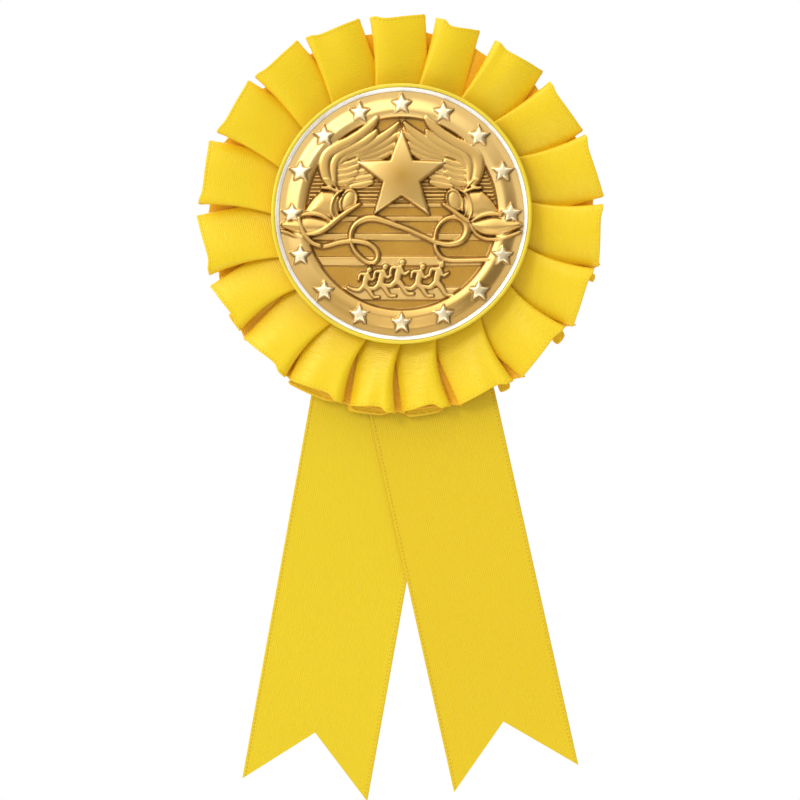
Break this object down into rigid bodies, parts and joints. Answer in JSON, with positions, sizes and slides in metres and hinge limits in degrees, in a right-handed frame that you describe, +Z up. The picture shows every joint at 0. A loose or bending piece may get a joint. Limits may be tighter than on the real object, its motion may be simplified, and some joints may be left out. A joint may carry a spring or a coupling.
{
  "type": "award ribbon",
  "caption": "Pleated satin rosette with an embossed gold medallion button, two swallowtail ribbon tails and a bar pin on the back.",
  "frame": {"origin": "middle of the pin needle, where the wearer's cloth holds the ribbon up, 9 mm above the rosette's centre", "axes": "+Z up, the front of the rosette faces -Y, +X to the right in front view and along the needle towards its point"},
  "size_m": [0.0814, 0.0189, 0.1573],
  "materials": {
    "gold_foil": "embossed vacuum-metallised gold foil",
    "silver_rim": "bright metallised edge",
    "tape": "double-sided tape",
    "yellow_plastic": "moulded, glossy",
    "white_plastic": "moulded, matt",
    "hot_melt": "cloudy hot-melt glue",
    "pleat_satin": "polyester satin ribbon",
    "thread": "spun polyester thread",
    "card_board": "grey-brown chipboard",
    "staple_wire": "galvanised wire",
    "left_tail_satin": "polyester satin ribbon",
    "right_tail_satin": "polyester satin ribbon",
    "back_board": "white-lined chipboard",
    "foam_tape": "closed-cell foam tape",
    "pin_steel": "nickel-plated, stamped",
    "rivet_steel": "nickel-plated, headed",
    "needle_steel": "polished spring wire",
    "lock_steel": "nickel-plated"
  },
  "bodies": {
    "rosette": {"medallion_insert": "gold_foil", "insert_bezel": "silver_rim", "insert_adhesive": "tape", "button_shell": "yellow_plastic", "button_back": "white_plastic", "button_glue": "hot_melt", "pleated_ribbon": "pleat_satin", "gather_stitches": "thread", "rosette_card": "card_board", "tail_glue": "hot_melt", "tail_staples": "staple_wire", "left_tail_anchor": "left_tail_satin", "right_tail_anchor": "right_tail_satin", "back_card": "back_board", "pin_pad": "foam_tape", "pin_base": "pin_steel", "pin_pivot": "rivet_steel"},
    "left_tail": {"left_tail": "left_tail_satin"},
    "right_tail": {"right_tail": "right_tail_satin"},
    "needle": {"pin_needle": "needle_steel"},
    "lock": {"pin_lock": "lock_steel"}
  },
  "joints": [
    {"name": "left_tail_lift", "type": "hinge", "parent": "rosette", "child": "left_tail", "pos_m": [-0.00607, -0.0065, -0.05007], "axis": [0.9842, 0, -0.1771], "range_deg": [0, 70]},
    {"name": "right_tail_lift", "type": "hinge", "parent": "rosette", "child": "right_tail", "pos_m": [0.00691, -0.0072, -0.04998], "axis": [0.9759, 0, 0.2181], "range_deg": [-70, 0]},
    {"name": "needle_swing", "type": "hinge", "parent": "rosette", "child": "needle", "pos_m": [-0.017, 0, 0], "axis": [0, 0, 1], "range_deg": [0, 75]},
    {"name": "lock_turn", "type": "hinge", "parent": "rosette", "child": "lock", "pos_m": [0.0135, 0, 0], "axis": [1, 0, 0], "range_deg": [0, 115]}
  ]
}
